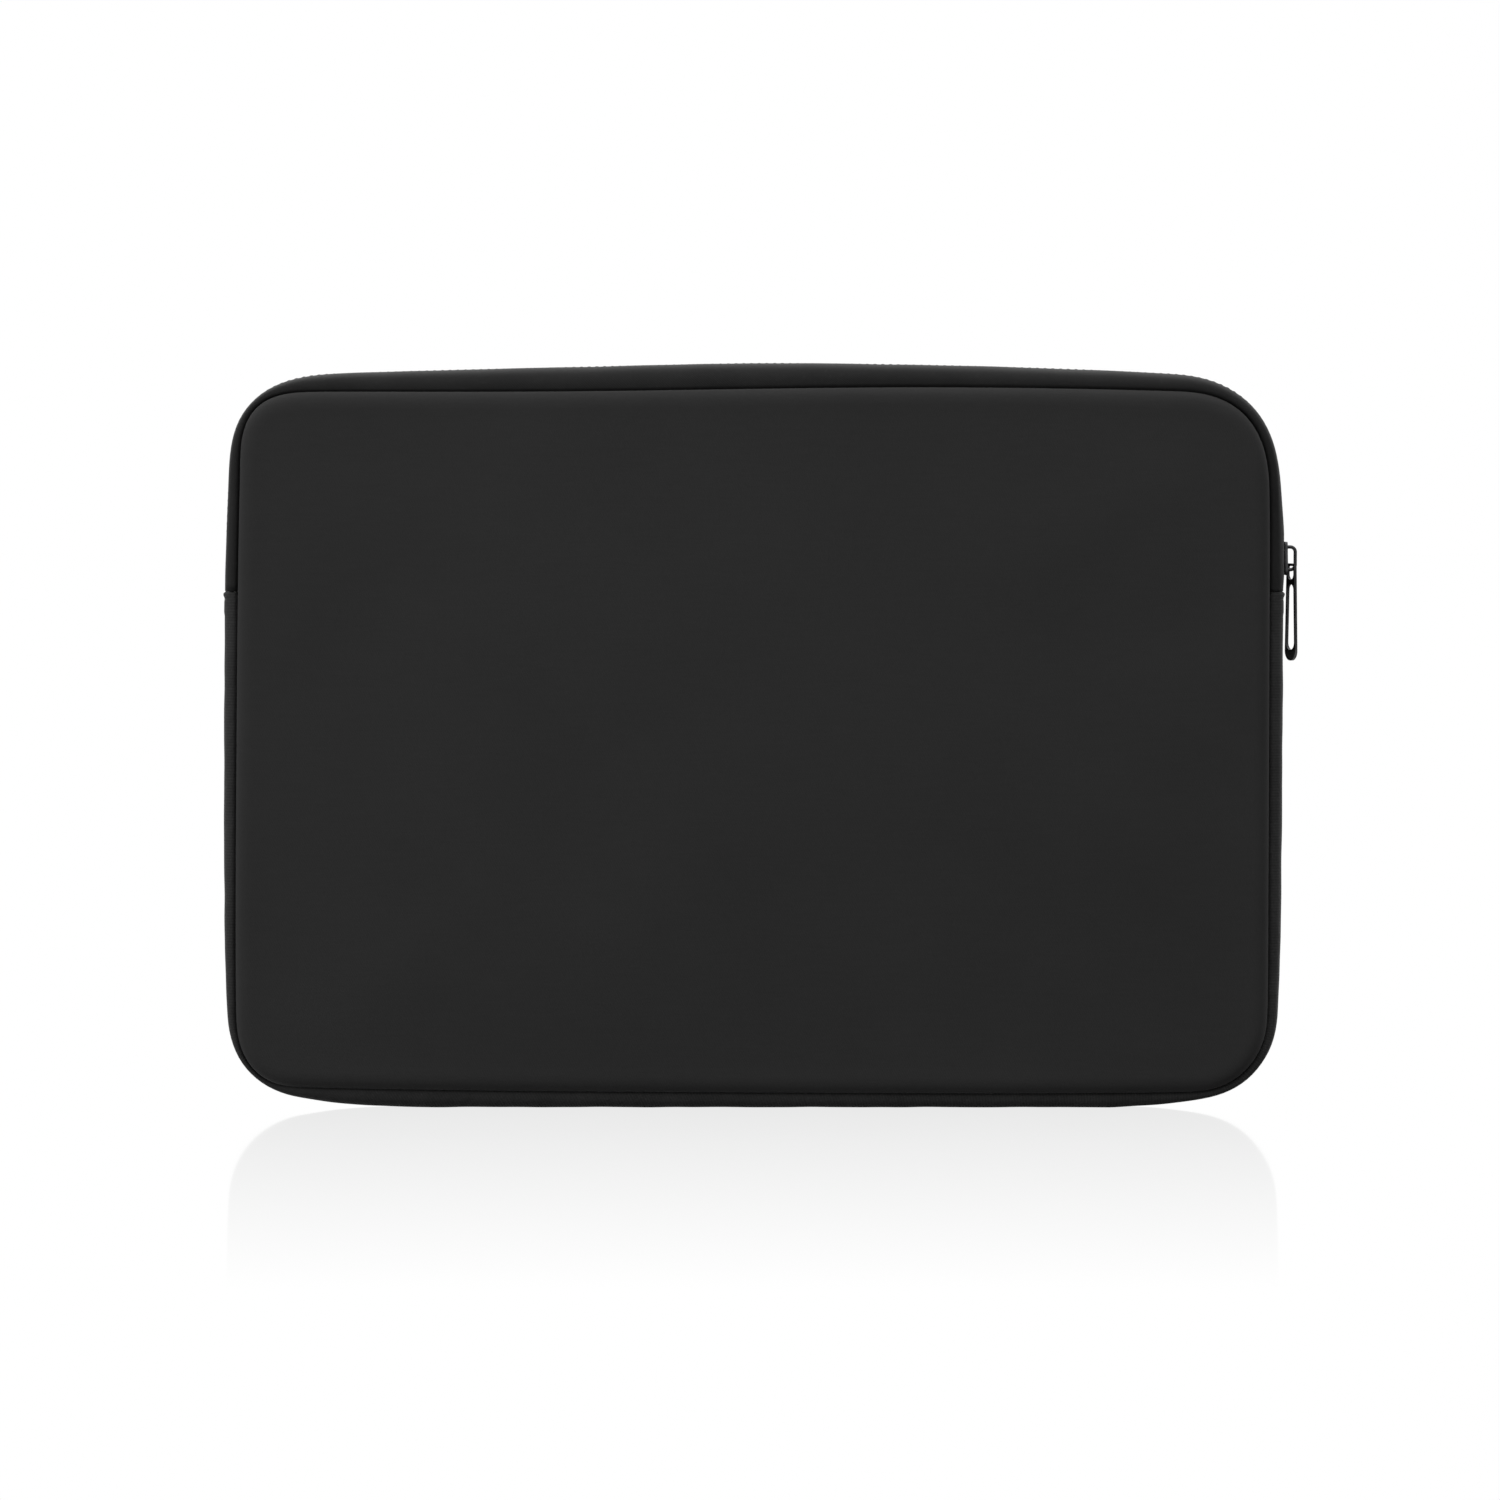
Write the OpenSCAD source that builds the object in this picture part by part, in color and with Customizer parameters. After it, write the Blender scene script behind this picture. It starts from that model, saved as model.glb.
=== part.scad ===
// Padded laptop sleeve, closed by a coil zip that runs round its upper half.
//
// Every piece is drawn with the sleeve lying on its back (x across, y up the sleeve, z towards
// the front) and then stood on its bottom edge, so that the finished part has +Z up, its front
// towards -Y, and its origin in the middle of the bottom gusset.

/* [Sleeve] */
// Overall width, over the side gussets
sleeve_w = 385; // [340:1:430]
// Overall height, over the bottom gusset and the zip
sleeve_h = 271; // [250:1:300]
// Overall thickness, over the two covers
sleeve_d = 30; // [28:0.5:34]
// Radius of the outline's corners, over the gusset
corner_r = 38; // [30:1:50]
// How far the gusset bulges out past the cover seams
gusset_bulge = 6.5; // [5.5:0.25:7.5]
// Radius that rounds the gusset's section towards each seam
gusset_round = 6; // [5:0.25:6.5]
// Radius at which the covers roll over to their seams
cover_roll = 4; // [3:0.25:4.5]

/* [Layers] */
// Thickness of the cover cloth
cover_t = 0.9; // [0.6:0.1:1.2]
// Thickness of the foam behind each cover
padding_t = 4; // [3:0.5:5]
// Thickness of the lining cloth
lining_t = 0.5; // [0.3:0.1:0.8]
// Thickness of the gusset cloth
strip_t = 0.6; // [0.4:0.1:0.8]
// Thickness of the foam in the gusset
gusset_padding_t = 2.5; // [1.5:0.25:3]
// Width of the tape that binds the inside seams
binding_w = 5; // [3:0.5:6]
// Thickness of the folded binding
binding_t = 1.2; // [0.8:0.1:1.6]
// Length of gusset cloth folded back at each end of the zip
hem_l = 8; // [5:0.5:12]
// How far that fold stands proud of the gusset
hem_rise = 0.35; // [0.2:0.05:0.4]

/* [Zip] */
// Height of the zip's two ends above the bottom edge
zip_end_h = 188; // [150:1:195]
// Thickness of the zip tapes
tape_t = 0.6; // [0.4:0.05:0.8]
// Distance from one turn of a coil to the next
coil_pitch = 1.5; // [1.4:0.05:2]
// Thickness of the coil's filament
filament_d = 0.6; // [0.45:0.05:0.6]
// Width of one coil, across the tape
coil_w = 3.6; // [3.2:0.1:4]
// Height of one coil, off the tape
coil_t = 1.7; // [1.5:0.1:2]
// How far each coil reaches past the middle into the other
coil_overlap = 0.8; // [0.5:0.05:0.9]

/* [Slider] */
// Height of the slider's middle above the zip's end when the zip is shut
slider_rest = 12; // [8:0.5:16]
// Length of the slider's two plates
slider_l = 12; // [11:0.5:13]
// Thickness of each plate
plate_t = 0.9; // [0.8:0.1:1.3]
// Half the thickness of the divider that parts the coils
divider_half = 0.9; // [0.7:0.05:1]
// Thickness of the flanges that guide the coils
flange_t = 0.9; // [0.7:0.1:1.2]
// Length of the bridge that holds the puller
bridge_l = 9.5; // [9:0.25:10.5]
// Thickness of the bridge's wire
bridge_d = 1.25; // [1.1:0.05:1.35]

/* [Puller] */
// Length of the puller, from the middle of its bar to its tip
puller_l = 34.8; // [25:0.1:42]
// Width of the puller at its rounded tip
puller_w = 7.2; // [6:0.1:7.8]
// Width of the puller at its bar
eye_w = 5.4; // [5.2:0.1:5.8]
// Thickness of the puller and of its bar
puller_t = 1; // [0.8:0.05:1.15]
// Width of the puller's two rails
rail_w = 0.8; // [0.6:0.05:0.95]
// Length of the solid tip below the slot
tip_l = 3.8; // [2:0.1:5]
// Distance from the bar down to the crosspiece
eye_l = 6.2; // [6:0.1:7]
// Turn of the hanging puller about its own length
puller_turn = 26; // [10:1:32]

/* [Clearances] */
// Gap between the moving half of the front and the fixed half
bend_gap = 0.3; // [0.2:0.05:0.5]
// Gap between the edges of the two zip tapes
tape_gap = 0.2; // [0.1:0.05:0.4]
// Gap between the coils and the tapes that they are sewn to
coil_gap = 0.03; // [0.02:0.01:0.1]
// Gap between the slider and what runs through it
slider_play = 0.2; // [0.15:0.05:0.3]
// Gap between the puller's bar and the bridge it hangs on
bar_play = 0.05; // [0.02:0.01:0.08]
// Gap between the hanging puller and the slider's plate
puller_play = 0.1; // [0.05:0.05:0.3]

/* [Hidden] */
$fn = 96;
eps = 0.01;

// Colours, as on the made-up sleeve
cloth_black = "#2a2a2b";
strip_black = "#232324";
tape_black = "#1b1b1c";
foam_grey = "#55565a";
lining_grey = "#3a3b3e";
binding_black = "#202021";
coil_black = "#151516";
gunmetal = "#3b3c3f";

// The seam outline, where the covers meet the gusset
seam_w = sleeve_w - 2 * gusset_bulge;
seam_h = sleeve_h - 2 * gusset_bulge;
seam_r = corner_r - gusset_bulge;
seam_z = sleeve_d / 2 - cover_roll;
mid_h = sleeve_h / 2;

// The gusset's section: a flat middle and a round edge that turns in under each cover
round_x = gusset_bulge - gusset_round;
flat_half = seam_z - gusset_round;

// Depths of the layers behind each cover, measured from the middle of the sleeve
padding_top = sleeve_d / 2 - cover_t;
lining_top = padding_top - padding_t;
pocket_half = lining_top - lining_t;

// The zip's path over the gusset: up the right side, across the top and down the left side
side_run = sleeve_h - corner_r - zip_end_h;
corner_run = PI / 2 * corner_r;
top_run = sleeve_w - 2 * corner_r;
zip_run = 2 * side_run + 2 * corner_run + top_run;
turns = floor(zip_run / coil_pitch);
turn_step = zip_run / turns;

// The coils part round the divider: apart below it, and closing up again inside the slider
divider_l = slider_l / 3;
coil_spread = divider_half + coil_overlap + slider_play / 2;
part_low = -slider_l / 8;
part_high = part_low + slider_l / 3;

// The slider's channel, and its plates' half widths at the divider (nose) and at the other end
slider_h = zip_end_h + slider_rest;
coil_reach = coil_w - coil_overlap;
nose_channel = coil_reach + coil_spread + slider_play;
tail_channel = coil_reach + slider_play;
nose_half = nose_channel + flange_t;
tail_half = tail_channel + flange_t;
outer_plate_x = slider_play + plate_t;
coil_x = -(tape_t + coil_gap + coil_t / 2);
inner_plate_x = coil_x - coil_t / 2 - slider_play;
plate_corner = 1.4;

// The puller's bar hangs in the lower bend of the bridge, just clear of the wire and the plate
bridge_leg = (bridge_l - bridge_d) / 2;
bridge_bend = bridge_d + bar_play + puller_t / 2;
bar_y = bridge_bend - bridge_leg;
half_over_plate = half_at(slider_l / 2 + bar_y);
puller_reach = half_over_plate * sin(puller_turn) + puller_t / 2 * cos(puller_turn);
bar_x = outer_plate_x + puller_play + puller_reach;
bridge_x = bar_x + ((puller_t + bridge_d) / 2 + bar_play) / cos(puller_turn);

// ---------------------------------------------------------------- shared shapes

// Stands the flat drawing on its bottom edge.
module stand() {
    rotate([90, 0, 0]) children();
}

// The seam outline, drawn in by inset all round.
module outline(inset) {
    r = seam_r - inset;
    translate([0, mid_h]) {
        square([seam_w - 2 * inset, seam_h - 2 * seam_r], center = true);
        square([seam_w - 2 * seam_r, seam_h - 2 * inset], center = true);
        for (sx = [-1, 1], sy = [-1, 1])
            translate([sx * (seam_w / 2 - seam_r), sy * (seam_h / 2 - seam_r)]) circle(r);
    }
}

// A flat layer inside the seam outline.
module slab(inset, low, high) {
    translate([0, 0, low]) linear_extrude(high - low) outline(inset);
}

// Sweeps a section (x outwards from the seam, y towards the front) up a straight side.
module straight(length) {
    rotate([90, 0, 0]) linear_extrude(length, center = true) children();
}

// Sweeps a section round a corner.
module bend() {
    rotate_extrude(angle = 90) translate([seam_r, 0]) children();
}

// Sweeps a section round the corner numbered 0 to 3, anticlockwise from the top right.
module corner(number) {
    sx = number == 0 || number == 3 ? 1 : -1;
    sy = number < 2 ? 1 : -1;
    translate([sx * (seam_w / 2 - seam_r), mid_h + sy * (seam_h / 2 - seam_r), 0])
        rotate(90 * number) bend() children();
}

// Sweeps a section along both sides, from height low to height high.
module sides(low, high) {
    for (side = [0, 1])
        mirror([side, 0, 0]) translate([seam_w / 2, (low + high) / 2, 0]) straight(high - low) children();
}

// Sweeps a section along the top (sy = 1) or the bottom (sy = -1).
module across(sy) {
    translate([0, mid_h + sy * seam_h / 2, 0]) rotate(sy * 90) straight(top_run) children();
}

// Sweeps a section right round the seam outline.
module all_round() {
    for (number = [0:3]) corner(number) children();
    sides(corner_r, sleeve_h - corner_r) children();
    across(1) children();
    across(-1) children();
}

// Sweeps a section along the zip, from its ends up and over the top.
module along_zip(start) {
    for (number = [0, 1]) corner(number) children();
    sides(start, sleeve_h - corner_r) children();
    across(1) children();
}

// Sweeps a section along the lower gusset, from one end of the zip down and round to the other.
module along_gusset(end) {
    for (number = [2, 3]) corner(number) children();
    sides(corner_r, end) children();
    across(-1) children();
}

// Keeps what lies below, or above, a height up the sleeve.
module below(h) {
    intersection() {
        children();
        translate([-sleeve_w, -sleeve_h, -sleeve_d]) cube([2 * sleeve_w, sleeve_h + h, 2 * sleeve_d]);
    }
}

module above(h) {
    intersection() {
        children();
        translate([-sleeve_w, h, -sleeve_d]) cube([2 * sleeve_w, sleeve_h, 2 * sleeve_d]);
    }
}

// ---------------------------------------------------------------- covers, padding and lining

// Section of a cover's rolled edge, from its outer face to a depth.
module roll_section(outer, inner) {
    translate([-cover_roll, seam_z]) intersection() {
        difference() {
            circle(cover_roll - outer);
            circle(cover_roll - inner);
        }
        square(cover_roll);
    }
}

module cover() {
    slab(cover_roll, padding_top, sleeve_d / 2);
    all_round() roll_section(0, cover_t);
}

// Foam fills the cover up to its rolled edge.
module padding() {
    slab(cover_roll, lining_top, padding_top);
    all_round() {
        translate([-cover_roll, seam_z]) intersection() {
            circle(cover_roll - cover_t);
            square(cover_roll);
        }
        translate([-cover_roll, lining_top]) square([cover_roll - cover_t, seam_z - lining_top]);
    }
}

module lining() {
    slab(cover_t, pocket_half, lining_top);
}

// Binding tape, folded over the seam allowance and laid on the lining's edge.
module binding() {
    all_round() translate([-cover_t - binding_w, pocket_half - binding_t]) square([binding_w, binding_t]);
}

// ---------------------------------------------------------------- gusset

// Solid section of the gusset from a depth below its outer face to a depth inside the seam.
module gusset_solid(depth, inside) {
    r = gusset_round - depth;
    translate([-inside, -flat_half]) square([gusset_bulge - depth + inside, 2 * flat_half]);
    for (side = [-1, 1]) {
        translate([round_x, side * flat_half]) intersection() {
            circle(r);
            translate([0, side > 0 ? 0 : -r]) square(r);
        }
        translate([-inside, side > 0 ? flat_half : -flat_half - r]) square([inside + round_x, r]);
    }
}

// Section of one layer of the gusset.
module gusset_layer(outer, inner) {
    difference() {
        gusset_solid(outer, cover_t);
        gusset_solid(inner, cover_t + eps);
    }
}

// The gusset cloth, with its ends folded back over the ends of the zip.
module gusset_cloth() {
    along_gusset(zip_end_h) gusset_layer(0, strip_t);
    sides(zip_end_h - hem_l, zip_end_h) intersection() {
        gusset_layer(-hem_rise, eps);
        translate([strip_t, -seam_z]) square([gusset_bulge + hem_rise, 2 * seam_z]);
    }
}

module gusset_foam() {
    along_gusset(zip_end_h) gusset_layer(strip_t, strip_t + gusset_padding_t);
}

module gusset_inner() {
    depth = strip_t + gusset_padding_t;
    along_gusset(zip_end_h) gusset_layer(depth, depth + lining_t);
}

// ---------------------------------------------------------------- zip

// Section of the front tape. Its edge stops short of the middle by half a gap.
module tape_section(gap) {
    intersection() {
        gusset_layer(0, tape_t);
        translate([-cover_t, gap / 2]) square([gusset_bulge + cover_t, seam_z]);
    }
}

// The front tape, parted round the divider from the zip's end to the inside of the slider.
module tape(start) {
    parted = divider_half + slider_play;
    difference() {
        along_zip(start) tape_section(tape_gap);
        translate([seam_w / 2, 0, 0]) rotate([0, 90, 0]) rotate(90) linear_extrude(2 * gusset_bulge) polygon([
            [zip_end_h - eps, -parted], [slider_h + part_low, -parted], [slider_h + part_high, 0],
            [slider_h + part_low, parted], [zip_end_h - eps, parted]
        ]);
    }
}

// Middle of the arc, and turn about it, at a distance along the zip from its right end.
function arc_x(s) =
    let (half = sleeve_w / 2 - corner_r)
    half - min(max(s - side_run - corner_run, 0), top_run);
function arc_y(s) =
    let (top = sleeve_h - corner_r, fall = s - side_run - 2 * corner_run - top_run)
    min(zip_end_h + s, top) - max(fall, 0);
function arc_turn(s) =
    let (first = min(max(s - side_run, 0), corner_run),
         second = min(max(s - side_run - corner_run - top_run, 0), corner_run))
    (first + second) / corner_run * 90;

// Puts a child, drawn with x outwards from the gusset's face, at a distance along the zip.
module on_zip(s) {
    translate([arc_x(s), arc_y(s), 0]) rotate(arc_turn(s)) translate([corner_r, 0, 0]) children();
}

// How far each coil stands off the middle at a distance along the zip.
function spread(s) =
    let (past = s - slider_rest - part_low)
    coil_spread * (1 - min(max(past / (part_high - part_low), 0), 1));

// One turn of the coil, a flat ring of filament under the tape's inner face.
module coil_turn() {
    r = coil_t / 2;
    rotate([90, 0, 0]) linear_extrude(filament_d, center = true) difference() {
        ring_outline(r);
        ring_outline(r - filament_d);
    }
}

// A rounded slot across the tape, centred on the coil's own middle.
module ring_outline(r) {
    reach = coil_w / 2 - coil_t / 2;
    square([2 * r, 2 * reach], center = true);
    for (end = [-1, 1]) translate([0, end * reach]) circle(r, $fn = 24);
}

// The front coil, turn by turn along the zip. phase sets its turns between the other coil's.
module coil(start, phase) {
    for (i = [0 : turns - 1]) {
        s = (i + phase) * turn_step;
        if (s > start + filament_d)
            on_zip(s) translate([coil_x, 0, coil_w / 2 - coil_overlap + spread(s)]) coil_turn();
    }
}

// ---------------------------------------------------------------- slider

// Outline of a plate (x along the zip, y across it). The divider's end is the wider one.
module plate_outline(nose, tail) {
    reach = slider_l / 2 - plate_corner;
    hull() for (side = [-1, 1]) {
        translate([-reach, side * (nose - plate_corner)]) circle(plate_corner, $fn = 32);
        translate([reach, side * (tail - plate_corner)]) circle(plate_corner, $fn = 32);
    }
}

// The channel that the coils run through, wider where they part round the divider.
module channel() {
    reach = slider_l / 2 + eps;
    polygon([
        [-reach, -nose_channel], [part_low, -nose_channel],
        [part_high, -tail_channel], [reach, -tail_channel],
        [reach, tail_channel], [part_high, tail_channel],
        [part_low, nose_channel], [-reach, nose_channel]
    ]);
}

// The divider: a blunt wedge between the two coils.
module divider_outline() {
    round_end = -slider_l / 2 + divider_half;
    shoulder = -slider_l / 2 + divider_l - divider_half;
    translate([round_end, 0]) circle(divider_half);
    polygon([
        [round_end, -divider_half], [shoulder, -divider_half], [shoulder + 2 * divider_half, 0],
        [shoulder, divider_half], [round_end, divider_half]
    ]);
}

// Extrudes an outline (x along the zip, y across it) outwards from the tape, between two depths.
module plate(low, high) {
    translate([low, 0, 0]) rotate([90, 0, 90]) linear_extrude(high - low) children();
}

// The bridge: a wire arch along the middle of the outer plate.
module bridge() {
    bend_y = bridge_leg - bridge_bend;
    foot_x = outer_plate_x - plate_t / 2;
    for (end = [-1, 1]) end_for_end(end) translate([0, bend_y, 0]) {
        translate([bridge_x - bridge_bend, 0, 0])
            rotate_extrude(angle = 90) translate([bridge_bend, 0]) circle(d = bridge_d);
        translate([foot_x, bridge_bend, 0]) rotate([0, 90, 0])
            cylinder(d = bridge_d, h = bridge_x - bridge_bend - foot_x);
    }
    translate([bridge_x, 0, 0]) rotate([90, 0, 0]) cylinder(d = bridge_d, h = 2 * bend_y, center = true);
}

// Turns a child end for end along the zip, for end = -1.
module end_for_end(end) {
    rotate([end < 0 ? 180 : 0, 0, 0]) children();
}

// How far the tape's inner face has curved away at a distance from the middle.
function tape_drop(z) =
    let (r = gusset_round - tape_t, out = max(z - flat_half, 0))
    r - sqrt(r * r - out * out);

// The slider, drawn about its middle, x outwards from the tape's face and y up the zip.
module slider() {
    flange_x = -tape_t - tape_drop(nose_half) - slider_play;
    plate(slider_play, outer_plate_x) plate_outline(nose_half, tail_half);
    plate(inner_plate_x - plate_t, inner_plate_x) plate_outline(nose_half, tail_half);
    plate(inner_plate_x, flange_x) difference() {
        plate_outline(nose_half, tail_half);
        channel();
    }
    plate(inner_plate_x, slider_play) divider_outline();
    bridge();
}

// ---------------------------------------------------------------- puller

// Outline of the puller (x across, y along), from its bar at the origin down to its round tip.
module puller_outline() {
    tip_r = puller_w / 2;
    hull() {
        translate([0, -puller_l + tip_r]) circle(tip_r, $fn = 64);
        translate([-eye_w / 2, -eps]) square([eye_w, eps]);
    }
}

// Half the puller's width at a distance below its bar.
function half_at(y) = eye_w / 2 + (puller_w - eye_w) / 2 * y / (puller_l - puller_w / 2);

// The two openings: the eye that the bridge passes through, and the long slot below it.
module puller_openings() {
    eye_low = eye_l - rail_w;
    slot_top = eye_l + rail_w;
    slot_low = puller_l - tip_l - puller_w / 2 + rail_w;
    hull() {
        translate([-eye_w / 2 + rail_w, -eps]) square([eye_w - 2 * rail_w, 2 * eps]);
        translate([0, -eye_low + half_at(eye_low) - rail_w]) circle(half_at(eye_low) - rail_w, $fn = 32);
    }
    hull() {
        translate([0, -slot_top - half_at(slot_top) + rail_w]) circle(half_at(slot_top) - rail_w, $fn = 32);
        translate([0, -slot_low]) circle(half_at(slot_low) - rail_w, $fn = 32);
    }
}

// The puller, hanging from its bar: a flat frame, turned about its own length.
module puller_solid() {
    rotate([0, 90, 0]) linear_extrude(puller_t, center = true) difference() {
        puller_outline();
        puller_openings();
    }
    cylinder(d = puller_t, h = eye_w, center = true);
}

// ---------------------------------------------------------------- placed pieces

module at_slider() {
    translate([sleeve_w / 2, slider_h, 0]) children();
}

// Hangs the puller in the bridge, turned so that its face shows from the front.
module hang() {
    translate([bar_x, bar_y, 0]) rotate([0, puller_turn, 0]) children();
}

module back_panel() { color(cloth_black) stand() mirror([0, 0, 1]) cover(); }
module back_padding() { color(foam_grey) stand() mirror([0, 0, 1]) padding(); }
module back_lining() { color(lining_grey) stand() mirror([0, 0, 1]) lining(); }
module rear_seam_binding() { color(binding_black) stand() mirror([0, 0, 1]) binding(); }

module front_panel() { color(cloth_black) stand() below(zip_end_h) cover(); }
module front_padding() { color(foam_grey) stand() below(zip_end_h) padding(); }
module front_lining() { color(lining_grey) stand() below(zip_end_h) lining(); }
module front_seam_binding() { color(binding_black) stand() below(zip_end_h) binding(); }

module gusset_strip() { color(strip_black) stand() gusset_cloth(); }
module gusset_padding() { color(foam_grey) stand() gusset_foam(); }
module gusset_lining() { color(lining_grey) stand() gusset_inner(); }

module rear_zip_tape() { color(tape_black) stand() mirror([0, 0, 1]) tape(zip_end_h); }
module rear_zip_coil() { color(coil_black) stand() mirror([0, 0, 1]) coil(0, 0.25); }

module flap_panel() { color(cloth_black) stand() above(zip_end_h + bend_gap) cover(); }
module flap_padding() { color(foam_grey) stand() above(zip_end_h + bend_gap) padding(); }
module flap_lining() { color(lining_grey) stand() above(zip_end_h + bend_gap) lining(); }
module flap_seam_binding() { color(binding_black) stand() above(zip_end_h + bend_gap) binding(); }

module front_zip_tape() { color(tape_black) stand() tape(zip_end_h + bend_gap); }
module front_zip_coil() { color(coil_black) stand() coil(bend_gap, 0.75); }

module slider_body() { color(gunmetal) stand() at_slider() slider(); }
module puller() { color(gunmetal) stand() at_slider() hang() puller_solid(); }

back_panel();
back_padding();
back_lining();
rear_seam_binding();
front_panel();
front_padding();
front_lining();
front_seam_binding();
gusset_strip();
gusset_padding();
gusset_lining();
rear_zip_tape();
rear_zip_coil();
flap_panel();
flap_padding();
flap_lining();
flap_seam_binding();
front_zip_tape();
front_zip_coil();
slider_body();
puller();
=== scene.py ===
# %% [markdown]
# # A padded laptop sleeve
#
# The sleeve is a sandwich that stands on its bottom edge. Two big covers, each a cloth over a
# sheet of foam over a lining, are sewn to one narrow gusset that runs right round the edge. The
# lower part of the gusset is a strip of ribbed cloth. The upper part is a zip, turned inside out
# so that its teeth are hidden, with a small metal slider at the right.
#
# The mechanical drawing already holds every piece at its real size. It is loaded first, and all
# the places below are taken from it, so nothing has to be fitted by eye.

# %% Load the frame
import math

import bmesh
import bpy
import numpy as np
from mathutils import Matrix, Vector


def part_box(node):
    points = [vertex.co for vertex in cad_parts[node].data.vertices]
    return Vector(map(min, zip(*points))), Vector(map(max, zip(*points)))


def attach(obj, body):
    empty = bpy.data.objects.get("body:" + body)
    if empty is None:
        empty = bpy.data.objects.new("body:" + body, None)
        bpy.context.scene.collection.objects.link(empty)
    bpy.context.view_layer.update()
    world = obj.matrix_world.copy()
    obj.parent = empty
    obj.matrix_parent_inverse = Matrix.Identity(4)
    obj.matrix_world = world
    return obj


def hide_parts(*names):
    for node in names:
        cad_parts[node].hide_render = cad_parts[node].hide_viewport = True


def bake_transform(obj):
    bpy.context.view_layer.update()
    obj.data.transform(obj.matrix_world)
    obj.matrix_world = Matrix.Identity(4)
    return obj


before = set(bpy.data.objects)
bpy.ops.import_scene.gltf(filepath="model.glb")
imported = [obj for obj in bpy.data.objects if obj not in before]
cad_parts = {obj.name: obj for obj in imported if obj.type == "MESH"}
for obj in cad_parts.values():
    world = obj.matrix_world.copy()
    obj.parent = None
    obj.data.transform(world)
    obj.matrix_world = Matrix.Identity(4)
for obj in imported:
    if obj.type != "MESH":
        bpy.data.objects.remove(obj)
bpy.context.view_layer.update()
MM = 0.001

# %% [markdown]
# ## The sizes that everything else follows
#
# A designer reads a part list before drawing a line. Here that means asking the frame where the
# zip, the gusset, the covers and the slider are, and giving those places plain names. Only the
# thickness of the two outer cloths is chosen here.

# %% Read the sleeve's sizes
strip_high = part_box("gusset_strip")[1]
zip_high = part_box("rear_zip_tape")[1]
front_tape_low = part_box("front_zip_tape")[0]
back_low, back_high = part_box("back_panel")
slider_low, slider_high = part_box("slider_body")
puller_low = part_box("puller")[0]
lining_low, lining_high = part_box("back_lining")

HALF_W = zip_high.x
HEIGHT = zip_high.z
FACE_Y = back_high.y
SEAM_Y = back_low.y
ZIP_END = strip_high.z
POCKET_Y = lining_low.y
LINING_TOP = lining_high.y
CLOTH = 0.9 * MM
STRIP = 0.6 * MM
slider_mid_z = (slider_low.z + slider_high.z) / 2
slider_length = slider_high.z - slider_low.z
print(f"sleeve {2000 * HALF_W:.0f} x {1000 * HEIGHT:.0f} x {2000 * FACE_Y:.0f} mm")

# %% [markdown]
# ## The camera
#
# A long lens from two metres away keeps the sides of a flat object parallel, as in a catalogue.
# The camera stands a little above the middle of the sleeve, so the zip's tape shows along the top.

# %% Place the camera
CAMERA_DISTANCE = 2.0
CAMERA_RISE = math.radians(3.5)
SEEN_WIDTH = 0.5456
SENSOR = 36.0
aim = Vector((-1.2 * MM, 0, 130.3 * MM))
camera = bpy.data.objects.new("camera", bpy.data.cameras.new("camera"))
bpy.context.scene.collection.objects.link(camera)
camera.location = aim + CAMERA_DISTANCE * Vector((0, -math.cos(CAMERA_RISE), math.sin(CAMERA_RISE)))
camera.rotation_euler = (math.radians(90) - CAMERA_RISE, 0, 0)
camera.data.sensor_width = SENSOR
camera.data.lens = SENSOR * CAMERA_DISTANCE / SEEN_WIDTH
camera.data.clip_end = 20
bpy.context.scene.camera = camera
print(f"lens {camera.data.lens:.0f} mm")

# %% [markdown]
# ## Two loops
#
# Seen from the front, the whole sleeve is drawn by two closed loops: the outermost line of the
# gusset, and the seam where the cover meets it. Neither is a perfect rounded rectangle. Foam and
# cloth pull the long edges outwards, so the top is a low arch, and the cover's corners are
# tighter than the gusset's. Each loop is four rounded corners joined by edges that swell. A point
# is found from one number, u, which counts the stretches anticlockwise from the foot of the right
# side: right side 0 to 1, corner 1 to 2, top 2 to 3, and so on to 8.

# %% Draw the loops
# Corners are (x, z, half width, half height, squareness): top right, top left, bottom left,
# bottom right. Swells of the edges are (height, fullness, wave): right, top, left, bottom. A wave
# lifts the first half of an edge and lowers the second. Lengths are in mm.
OUTER_CORNERS = [(146.4, 221.1, 44.7, 45.9, 2.5), (-146.3, 229.3, 43.6, 37.7, 2.7),
                 (-161.9, 33.0, 29.6, 29.6, 2.0), (160.8, 33.2, 30.1, 30.1, 2.0)]
OUTER_SWELLS = [(1.2, 4, 0), (3.7, 1.3, 0.35), (1.5, 3, 0), (3.6, 9, 0)]
SEAM_CORNERS = [(150.2, 221.1, 36.1, 39.4, 2.65), (-154.8, 229.3, 30.4, 31.0, 3.4),
                (-166.9, 33.0, 20.8, 24.6, 2.2), (160.8, 33.2, 25.8, 26.6, 2.0)]
SEAM_SWELLS = [(0.2, 8, 0), (0.9, 2.0, 0.7), (0.6, 3, 0), (1.2, 3.0, 0)]
SWELL_SHAPE = 0.8
OUTER_EVENED, SEAM_EVENED = 5 * MM, 3.5 * MM
LOOP_SAMPLES, EVEN_SAMPLES = 8001, 4001
TABLE = 0.0


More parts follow.
